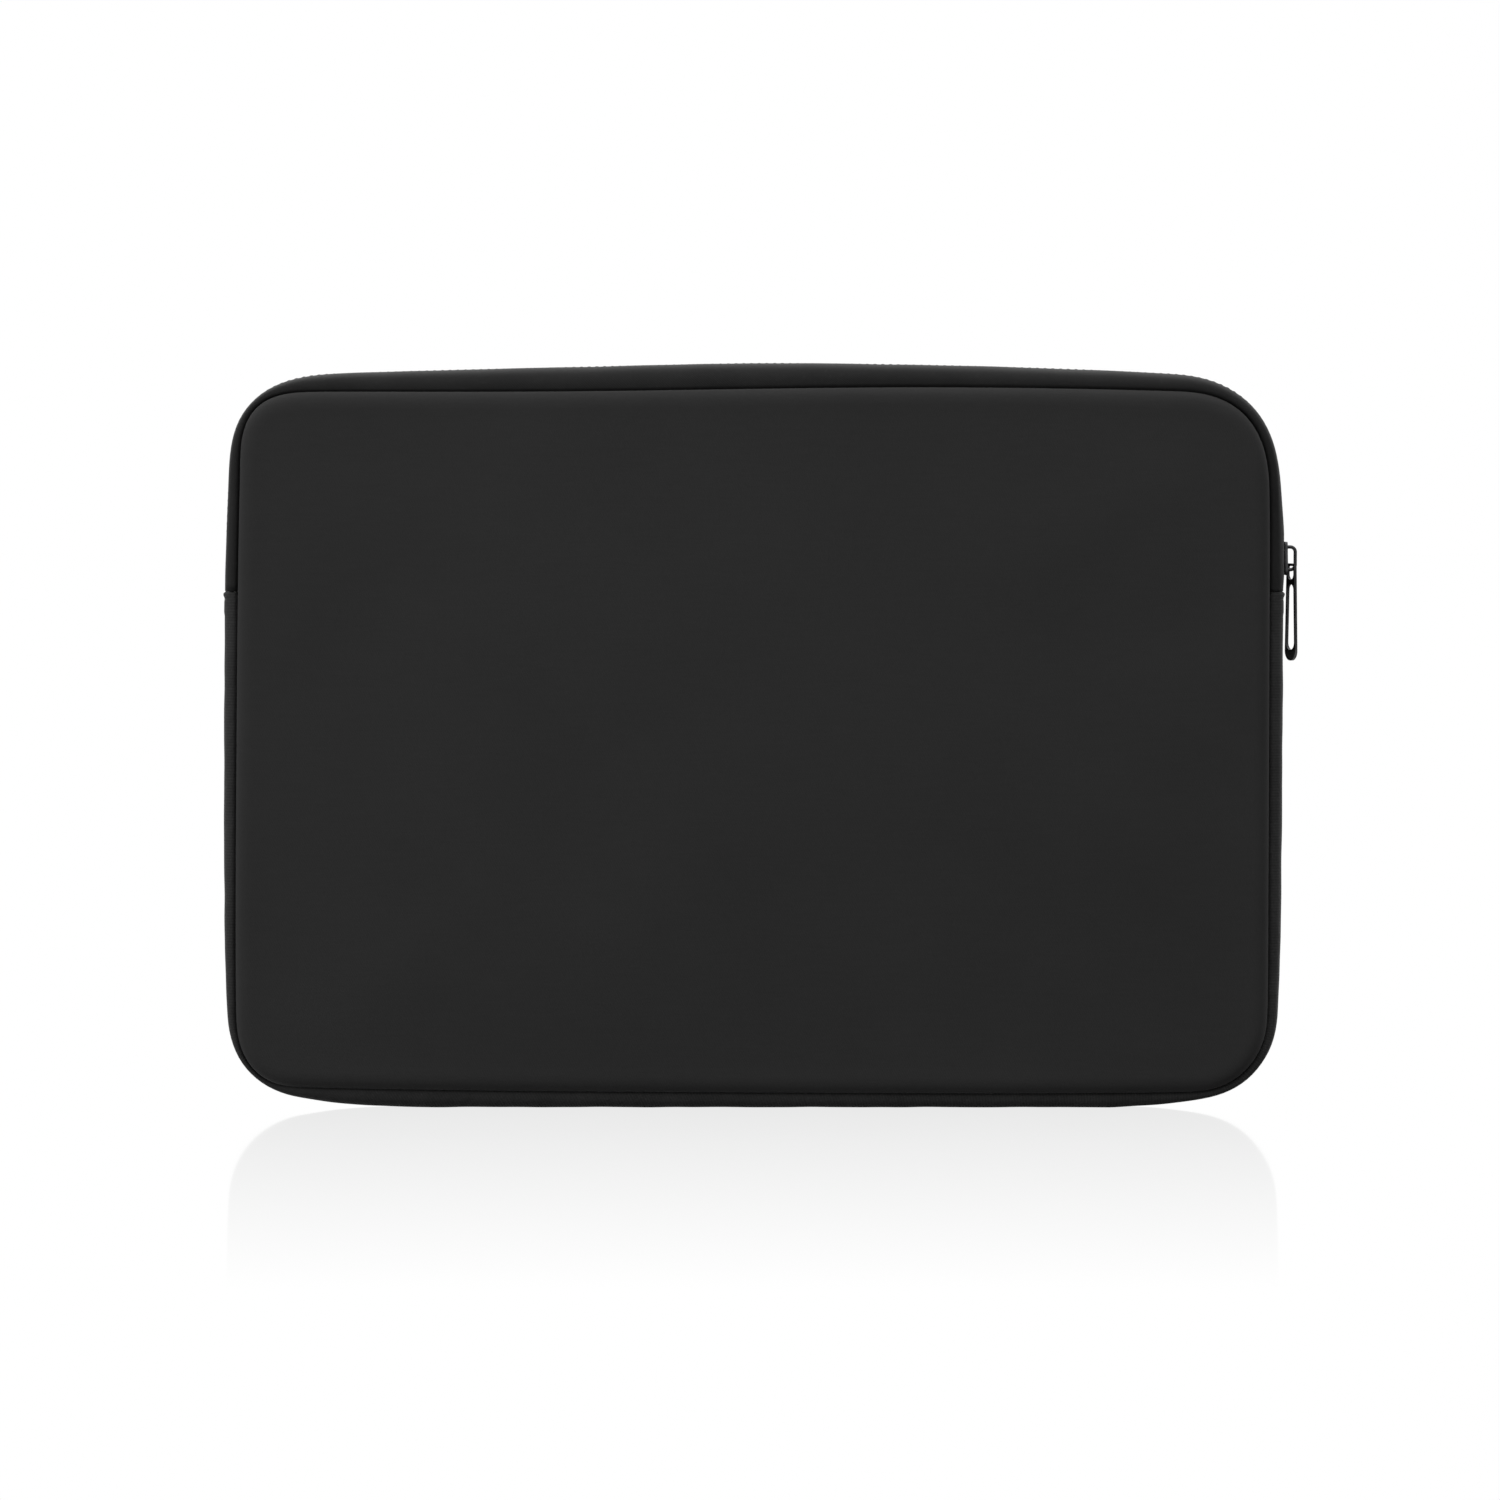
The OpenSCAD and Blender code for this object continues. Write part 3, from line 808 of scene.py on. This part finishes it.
# %% [markdown]
# ## The covers
#
# Each cover is one cloth stretched over foam. It rolls over at its edge and dives into the seam,
# and its big face is nearly flat: a low crown, a few soft folds where the foam has been handled,
# and a slight ridge just inside the seam, where the folded seam allowance lies underneath. The
# grid runs in rings from the seam to a short line in the middle, because rings follow the rolled
# edge and the round corners as the cloth does.

# %% Heights of a cover
ROLL = 4.6 * MM
ROLL_FULLNESS = 2.2
SEAM_DEPTH = 9.0 * MM
CROWN = 0.9 * MM
CENTRE_HALF = 62 * MM
MID_Z = HEIGHT / 2
CENTRE_SHAPE = 0.92
# Soft creases that handling leaves: from (x, z), to (x, z), width and height, in mm.
FOLDS = [
    ((150, 30), (70, 105), 17, -0.30), ((172, 62), (108, 128), 13, 0.22),
    ((60, 14), (38, 92), 12, -0.22), ((28, 12), (16, 70), 10, 0.18),
    ((-150, 30), (-96, 84), 16, 0.20), ((-172, 150), (-118, 196), 15, -0.18),
    ((150, 236), (96, 196), 15, 0.22), ((-60, 250), (-24, 190), 20, -0.15),
    ((178, 178), (120, 170), 12, -0.18),
]
SIDE_ROWS, CORNER_ROWS, EDGE_ROWS, INNER_RINGS = 60, 18, 116, 34
WELD = 2e-6


def folds(x, z):
    """Height of the creases."""
    total = np.zeros_like(x)
    for (ax, az), (bx, bz), width, height in FOLDS:
        a, b = np.array([ax, az]) * MM, np.array([bx, bz]) * MM
        d = b - a
        t = ((x - a[0]) * d[0] + (z - a[1]) * d[1]) / (d @ d)
        off = np.hypot(x - a[0] - t * d[0], z - a[1] - t * d[1])
        ends = np.exp(-((np.clip(np.abs(t - 0.5) - 0.35, 0, None) / 0.3) ** 2))
        total += height * MM * np.exp(-((off / (width * MM)) ** 2)) * ends
    return total


def crown(x, z):
    """How far the face swells at its middle."""
    across = np.clip(1 - (x / HALF_W) ** 2, 0, 1)
    up = np.clip(1 - ((z - MID_Z) / MID_Z) ** 2, 0, 1)
    return CROWN * (across * up) ** 0.6


def loop_u():
    """Places round the whole outline, the same number on opposite edges."""
    counts = [SIDE_ROWS, CORNER_ROWS, EDGE_ROWS, CORNER_ROWS] * 2
    return np.concatenate([k + np.arange(c) / c for k, c in enumerate(counts)])


def cover_rings():
    """Rings of a cover: places (x, z), distance in from the seam, and share of the rolled rise."""
    u = loop_u()
    n = outward(u, seam)
    b = np.linspace(0, math.pi / 2, 10)
    rolled = ROLL * (1 - np.cos(b) ** (2 / ROLL_FULLNESS))
    rolled[-1] = ROLL
    rise = np.sin(b) ** (2 / ROLL_FULLNESS)
    beyond = np.array([6.2, 8.2, 10.6, 13.4]) * MM
    distance = np.concatenate([[0.0], rolled, beyond])
    share = np.concatenate([[-1.0], rise, np.ones(len(beyond))])
    ring = seam(u)[:, None] - n[:, None] * distance[:, None]
    stretch, t = np.floor(u).astype(int), u % 1
    target_x = np.where(stretch == 2, CENTRE_HALF * (1 - 2 * t), 0)
    target_x = np.where(stretch == 6, CENTRE_HALF * (2 * t - 1), target_x)
    target_x = np.where(np.isin(stretch, [7, 0, 1]), CENTRE_HALF, target_x)
    target_x = np.where(np.isin(stretch, [3, 4, 5]), -CENTRE_HALF, target_x)
    target = np.stack([target_x, np.full(len(u), MID_Z)], -1)
    f = np.linspace(0, 1, INNER_RINGS + 1)[1:] ** CENTRE_SHAPE
    inside = ring[:, -1:, :] + (target - ring[:, -1])[:, None] * f[:, None]
    far = distance[-1] + np.linalg.norm(inside - ring[:, -1:, :], axis=-1)
    places = np.concatenate([ring, inside], 1)
    near = np.broadcast_to(distance, (len(u), len(distance)))
    distances = np.concatenate([near, far], 1)
    shares = np.concatenate([share, np.ones(INNER_RINGS)])
    return places, distances, shares


def cover_face(relief):
    """Points on a cover's outer face, as if at the back, and their distance in from the seam."""
    places, distance, shares = cover_rings()
    x, z = places[..., 0], places[..., 1]
    base = SEAM_DEPTH + 0.4 * MM
    y = np.where(shares < 0, SEAM_DEPTH, base + (FACE_Y - base) * np.clip(shares, 0, 1))
    inward = smooth(distance, ROLL, ROLL + 30 * MM)
    ridge = 0.16 * MM * np.exp(-(((distance - ROLL - 1.2 * MM) / (2.2 * MM)) ** 2))
    swell = crown(x, z) * smooth(distance, 0.5 * ROLL, ROLL + 60 * MM)
    lift = swell + relief(x, z) * inward + ridge
    return np.stack([x, y + lift * (shares >= 1), z], -1), distance


def cover(name, sign, relief):
    """A cover with a cloth's thickness, which is sideways at the seam and inwards on the face."""
    face, distance = cover_face(relief)
    inner = face.copy()
    on_face = smooth(distance, 0, ROLL * 0.8)
    inner[..., 1] -= CLOTH * on_face
    move = CLOTH * (1 - on_face)
    inner[..., 0::2] -= outward(loop_u(), seam)[:, None] * move[..., None]
    for grid in (face, inner):
        grid[..., 1] *= sign
    return solid_between(name, face, inner, COVER, ring=True, weld=WELD)


def front_creases(x, z):
    return 2.0 * folds(x, z)


def back_creases(x, z):
    """Other creases than the front's: mirrored, shallower and a little lower."""
    return 1.5 * folds(-x, z * 0.96 + 6 * MM)


front_cover = cover("front_cover", -1, front_creases)
back_cover = cover("back_cover", 1, back_creases)
print("covers", len(front_cover.data.vertices), "points each")

# %% [markdown]
# ## Foam and lining
#
# Behind each cover is a sheet of foam and then the lining. They follow the cover's outline a
# little inside it. The gusset below the zip has its own foam and lining.

# %% Foam and lining behind the covers


def slab(name, sign, inset, low_y, high_y, material, corner_soft=0.0):
    """A flat layer inside the seam, from depth low_y to high_y, with soft edges."""
    places, distance, _ = cover_rings()
    keep = np.r_[1, np.arange(3, places.shape[1])]
    places, distance = places[:, keep], distance[:, keep]
    drawn_in = inset * (1 - smooth(distance, 0, 12 * MM))
    places = places - outward(loop_u(), seam)[:, None] * drawn_in[..., None]
    round_off = corner_soft * (1 - smooth(distance, 0, 3 * MM))
    outer = in_space(places, sign * (high_y - round_off))
    inner = in_space(places, sign * low_y)
    return solid_between(name, outer, inner, material, ring=True, weld=WELD)


FOAM_TOP = FACE_Y - CLOTH - 0.2 * MM
FOAM_INSET, LINING_INSET = 1.4 * MM, 1.2 * MM
FOAM_SOFT = 3.4 * MM
front_foam = slab("front_foam", -1, FOAM_INSET, LINING_TOP, FOAM_TOP, FOAM_SPONGE, FOAM_SOFT)
back_foam = slab("back_foam", 1, FOAM_INSET, LINING_TOP, FOAM_TOP, FOAM_SPONGE, FOAM_SOFT)
front_lining = slab("front_lining_cloth", -1, LINING_INSET, POCKET_Y, LINING_TOP, LINING_CLOTH)
back_lining = slab("back_lining_cloth", 1, LINING_INSET, POCKET_Y, LINING_TOP, LINING_CLOTH)
print(f"foam {1000 * (FOAM_TOP - LINING_TOP):.1f} mm thick")

# %% Foam and lining of the gusset
LAYER_HALF = 8.6 * MM


def gusset_layer(name, depth, thickness, material):
    """A layer under the ribbed strip, depth below its outer face."""
    u = spaced_u(U_LEFT, 8 + U_RIGHT, 4 * MM)
    y = np.linspace(-LAYER_HALF, LAYER_HALF, 17)
    shape = (1 - (np.abs(y) / SEAM_Y) ** FULLNESS) ** (1 / FULLNESS)
    show = showing(u)[:, None]
    out = shape * (show - ROLL_IN) + ROLL_IN - show - depth
    p, n = outline(u), outward(u)

    def layer(down):
        return in_space(p[:, None] + n[:, None] * (out - down)[..., None], y)

    return solid_between(name, layer(0), layer(thickness), material)


gusset_foam = gusset_layer("gusset_foam", STRIP + 0.05 * MM, 2.4 * MM, FOAM_SPONGE)
gusset_lining = gusset_layer("gusset_lining_cloth", STRIP + 2.5 * MM, 0.5 * MM, LINING_CLOTH)
print(f"gusset foam and lining {2000 * LAYER_HALF:.1f} mm wide")

# %% [markdown]
# ## Seam bindings
#
# Inside, a folded tape covers the raw edges of each cover's seam. It is a soft flat tube that
# follows the seam.

# %% Bindings
BINDING_W, BINDING_T = 5 * MM, 1.2 * MM
BINDING_INSET = 1.5 * MM + BINDING_W / 2


def binding(name, sign):
    """A soft flat tube that runs along the inside of a seam."""
    u = loop_u()
    p, n = seam(u), outward(u, seam)
    a = np.linspace(0, 2 * math.pi, 17)[:-1]
    wide = (BINDING_W / 2) * np.sign(np.cos(a)) * np.abs(np.cos(a)) ** 0.6
    thick = (BINDING_T / 2) * np.sign(np.sin(a)) * np.abs(np.sin(a)) ** 0.8
    places = p[:, None] - n[:, None] * (BINDING_INSET + wide)[:, None]
    y = sign * (POCKET_Y - BINDING_T / 2 - 0.02 * MM + thick)
    return tube_of(name, in_space(places, y), BINDING, closed=True)


front_binding = binding("front_binding", -1)
rear_binding = binding("rear_binding", 1)
print("bindings", len(rear_binding.data.vertices), "points each")

# %% [markdown]
# ## The coils
#
# A coil zip has no separate teeth. Each side is one filament wound round and round and pressed
# flat, and the turns of one side slip between those of the other. So each coil is drawn as a
# helix with a flattened section, swept along the tape's inner face, with the two coils half a
# turn out of step. Below the slider they stand apart, as the tapes do.

# %% Coils
COIL_PITCH, COIL_W, COIL_T = 1.5 * MM, 3.6 * MM, 1.7 * MM
FILAMENT_R = 0.27 * MM
COIL_OVERLAP = 0.8 * MM
COIL_END = 1.2 * MM
TURN_POINTS = 12
THREAD_SIDES = 6


def wire(name, line):
    """Round filament along a line of points."""
    t = np.gradient(line, axis=0)
    t /= np.linalg.norm(t, axis=1, keepdims=True)
    reference = np.cross(t, np.roll(t, -3, 0))
    size = np.linalg.norm(reference, axis=1, keepdims=True)
    reference = np.where(size > 1e-6, reference / np.maximum(size, 1e-6), np.cross(t, [0.3, 1, 0.2]))
    a = reference - (reference * t).sum(1, keepdims=True) * t
    a /= np.linalg.norm(a, axis=1, keepdims=True)
    for i in range(1, len(a)):
        carried = a[i - 1] - (a[i - 1] @ t[i]) * t[i]
        a[i] = carried / np.linalg.norm(carried)
    b = np.cross(t, a)
    w = np.linspace(0, 2 * math.pi, THREAD_SIDES, endpoint=False)[:, None]
    rings = line[:, None] + FILAMENT_R * (a[:, None] * np.cos(w) + b[:, None] * np.sin(w))
    return tube_of(name, rings, FILAMENT, caps=True)


def coil(name, sign, phase):
    """One flattened helix, sewn COIL_END inside the ends of its tape."""
    start, end = right_side_u(ZIP_END + COIL_END), left_side_u(ZIP_END + COIL_END)
    fine = np.linspace(start, end, 6001)
    length = arc_length(outline(fine))
    turns = int(length[-1] / COIL_PITCH) - 1
    k = np.arange(turns * TURN_POINTS + 1)
    turn = k / TURN_POINTS + phase
    angle = 2 * math.pi * turn
    u = np.interp(turn * COIL_PITCH, length, fine)
    p, n = outline(u), outward(u)
    spread = half_gap(u) - HAIRLINE
    spread += COIL_OVERLAP * smooth(spread, 0.2 * MM, 0.8 * MM)
    flat = np.sign(np.cos(angle)) * np.abs(np.cos(angle)) ** 0.7
    y = sign * (COIL_W / 2 - COIL_OVERLAP + spread + flat * (COIL_W / 2 - FILAMENT_R))
    depth = TAPE_T + 0.2 * MM + COIL_T / 2 - np.sin(angle) * (COIL_T / 2 - FILAMENT_R)
    return wire(name, in_space(p - n * depth[:, None], y))


rear_coil = coil("rear_coil", 1, 0.25)
front_coil = coil("front_coil", -1, 0.75)
print("coils", len(rear_coil.data.vertices), "points each")

# %% [markdown]
# ## Stitches
#
# Thread is what makes cloth look sewn. Each stitch is a short grain of thread that dips into the
# cloth at both ends. There is a row along each coil, which shows on the tape's outer face, and a
# row across each folded end of the strip.

# %% Stitches
STITCH, STITCH_PITCH, THREAD_R = 2.1 * MM, 2.8 * MM, 0.19 * MM
HEM_THREAD, HEM_PITCH, HEM_HALF = 1.8 * MM, 2.4 * MM, 8.4 * MM


def stitches(name, middles, directions, ups, length):
    """Grains of thread at middles, lying along directions, on a surface that faces ups."""
    rings, sides = 5, THREAD_SIDES
    f = np.linspace(-1, 1, rings)
    w = np.linspace(0, 2 * math.pi, sides, endpoint=False)
    vertices, faces = [], []
    for m, d, up in zip(middles, directions, ups):
        side = np.cross(up, d)
        base = len(vertices)
        for fi in f:
            r = THREAD_R * (1 - 0.75 * abs(fi) ** 3)
            sink = THREAD_R * (0.25 - 1.25 * fi ** 2)
            middle = m + d * fi * length / 2
            for wi in w:
                vertices.append(middle + up * (sink + r * math.sin(wi)) + side * r * math.cos(wi))
        for i in range(rings - 1):
            for j in range(sides):
                k = (j + 1) % sides
                a, b = base + i * sides, base + (i + 1) * sides
                faces.append([a + j, a + k, b + k, b + j])
        faces.append([base + j for j in reversed(range(sides))])
        faces.append([base + (rings - 1) * sides + j for j in range(sides)])
    return new_piece(name, vertices, faces, THREAD)


def coil_stitches(name, sign, start_z):
    """The row of thread that holds a coil to its tape."""
    start, end = right_side_u(start_z + 2 * MM), left_side_u(start_z + 2 * MM)
    u = spaced_u(start, end, STITCH_PITCH)
    p, n = outline(u), outward(u)
    along = in_space(np.stack([-n[:, 1], n[:, 0]], -1), 0)
    y = COIL_STITCH + half_gap(u) - HAIRLINE
    bulge = (1 - (y / SEAM_Y) ** FULLNESS) ** (1 / FULLNESS)
    fall = (1 - bulge) * (showing(u) - ROLL_IN) + 0.1 * MM
    middles = in_space(p - n * fall[:, None], sign * y)
    return stitches(name, middles, along, in_space(n, 0), STITCH)


def hem_stitches(name, side, u):
    """The row of thread across a folded end of the strip, at place u, where side 1 is the right."""
    grid = push_out(whole_section(np.array([u])), np.array([u]), 0.05 * MM)[0]
    face = grid[ROLL_STEPS:-ROLL_STEPS]
    y = np.arange(-HEM_HALF, HEM_HALF + 0.1 * MM, HEM_PITCH)
    order = np.argsort(face[:, 1])
    x = np.interp(y, face[order, 1], face[order, 0])
    middles = np.stack([x, y, np.full(len(y), ZIP_END - HEM_STITCH)], -1)
    along = np.stack([np.gradient(x, y), np.ones(len(y)), np.zeros(len(y))], -1)
    along /= np.linalg.norm(along, axis=1, keepdims=True)
    up = side * np.cross(along, [0, 0, 1])
    return stitches(name, middles, along, up, HEM_THREAD)


front_coil_thread = coil_stitches("front_coil_thread", -1, front_tape_low.z)
rear_coil_thread = coil_stitches("rear_coil_thread", 1, ZIP_END)
right_hem_thread = hem_stitches("right_hem_thread", 1, right_side_u(ZIP_END - HEM_STITCH))
left_hem_thread = hem_stitches("left_hem_thread", -1, left_side_u(ZIP_END - HEM_STITCH))
print("stitches", len(rear_coil_thread.data.vertices) // (5 * THREAD_SIDES), "along each coil")

# %% [markdown]
# ## Bodies
#
# What is sewn to the back half is attached to the root body and stays still. The front half opens
# as a flap above the ends of the zip, but here its pieces are only fixed in place where they
# stand and nothing bends them. Each piece hides the drawing's nodes that it takes over.


def stand_in(nodes):
    """Hides the drawing's nodes that a piece takes over."""
    if nodes:
        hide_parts(*nodes)


def fixed(piece, slot_name, *nodes):
    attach(piece, "root")
    stand_in(nodes)


def bending(piece, slot_name, *nodes):
    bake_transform(piece)
    stand_in(nodes)


fixed(strip, "gusset_cloth", "gusset_strip")
fixed(back_cover, "cover_cloth", "back_panel")
fixed(back_foam, "foam", "back_padding")
fixed(back_lining, "lining_cloth", "back_lining")
fixed(rear_binding, "binding_tape", "rear_seam_binding")
fixed(rear_tape, "zip_tape", "rear_zip_tape")
fixed(rear_coil, "zip_coil", "rear_zip_coil")
fixed(gusset_foam, "foam", "gusset_padding")
fixed(gusset_lining, "lining_cloth", "gusset_lining")
fixed(rear_coil_thread, "zip_tape")
fixed(right_hem_thread, "gusset_cloth")
fixed(left_hem_thread, "gusset_cloth")
bending(front_cover, "cover_cloth", "front_panel", "flap_panel")
bending(front_foam, "foam", "front_padding", "flap_padding")
bending(front_lining, "lining_cloth", "front_lining", "flap_lining")
bending(front_binding, "binding_tape", "front_seam_binding", "flap_seam_binding")
bending(front_tape, "zip_tape", "front_zip_tape")
bending(front_coil, "zip_coil", "front_zip_coil")
bending(front_coil_thread, "zip_tape")

# %% [markdown]
# ## How long the soft pieces run
#
# A cloth is cut flat before it is sewn, and a foam sheet has a fullness. The cuts have seam turns:
# two millimetres round a cover, and a hem at each end of the ribbed strip. Here only the lengths
# of the ribbed strip and of the tapes along the outline are measured.

# %% Measure the gusset and the tapes
lower_run = arc_length(outline(np.linspace(U_LEFT, 8 + U_RIGHT, 2001)))[-1]
upper_run = arc_length(outline(np.linspace(U_RIGHT, U_LEFT, 2001)))[-1]
print(f"gusset cut {1000 * lower_run:.0f} mm, tapes cut {1000 * upper_run:.0f} mm")

# %% [markdown]
# ## The studio
#
# The sleeve stands on a white glossy table in a white room. The floor sends a faint reflection
# back to the camera. White comes from the floor's and the room's own colour, so the lamps stay
# gentle on the black cloth: a broad one overhead, a low one far to the left, and weak ones in
# front and behind.

# %% Floor, room and lamps
MIRROR_FADES, MIRROR_SHARE = -0.42, 0.19
ROOM_LIGHT = 0.45


def white_floor():
    board = Board("white_floor")
    board.set(Base_Color=grey(0.18), Roughness=0.6)
    glow = board.add("ShaderNodeEmission", None, {"Color": grey(1.0), "Strength": 1.0})
    mirror = board.add("ShaderNodeBsdfGlossy", None, {"Color": grey(1.0), "Roughness": 0.06})
    limits = {0: board.place("Y"), 1: MIRROR_FADES, 2: 0.0, 3: 0.0, 4: MIRROR_SHARE}
    nearness = board.add("ShaderNodeMapRange", None, limits)
    shine = board.add("ShaderNodeMixShader", None, {0: nearness, 1: glow, 2: mirror})
    camera_ray = board.add("ShaderNodeLightPath", output="Is Camera Ray")
    base = Signal(board, board.shader.outputs[0])
    seen = board.add("ShaderNodeMixShader", None, {0: camera_ray, 1: base, 2: shine})
    board.plug(board.output.inputs["Surface"], seen)
    return board.material


FLOOR_CORNERS = [(-6, -4, 0), (6, -4, 0), (6, 8, 0), (-6, 8, 0)]
floor = new_piece("floor", FLOOR_CORNERS, [[0, 1, 2, 3]], white_floor())


def lamp(name, place, size, power):
    """A soft lamp turned to the middle of the sleeve, with sizes in metres and power in watts."""
    light = bpy.data.lights.new(name, "AREA")
    light.shape = "RECTANGLE"
    light.size, light.size_y = size
    light.energy = power
    holder = bpy.data.objects.new(name, light)
    bpy.context.scene.collection.objects.link(holder)
    holder.location = place
    middle = Vector((0, 0, 0.13))
    holder.rotation_euler = (middle - Vector(place)).to_track_quat("-Z", "Y").to_euler()


lamp("overhead", (0.3, -0.6, 1.7), (1.6, 1.2), 16.5)
lamp("front_fill", (0.35, -1.0, 1.25), (1.2, 1.0), 6.2)
lamp("left_side", (-1.7, -0.9, 0.4), (0.8, 0.8), 20)
lamp("back_top", (0.1, 0.9, 1.4), (1.6, 0.8), 9)


def white_room():
    world = bpy.data.worlds.new("white_room")
    bpy.context.scene.world = world
    world.use_nodes = True
    room = Nodes(world.node_tree)
    camera_ray = room.add("ShaderNodeLightPath", output="Is Camera Ray")
    glossy_ray = room.add("ShaderNodeLightPath", output="Is Glossy Ray")
    dim = room.add("ShaderNodeBackground", None, {"Color": grey(1.0), "Strength": ROOM_LIGHT})
    bright = room.add("ShaderNodeBackground", None, {"Color": grey(1.0), "Strength": 1.0})
    seen = room.add("ShaderNodeMixShader", None, {0: camera_ray + glossy_ray, 1: dim, 2: bright})
    room.add("ShaderNodeOutputWorld", None, {"Surface": seen})


white_room()
bpy.context.scene.view_settings.view_transform = "Standard"
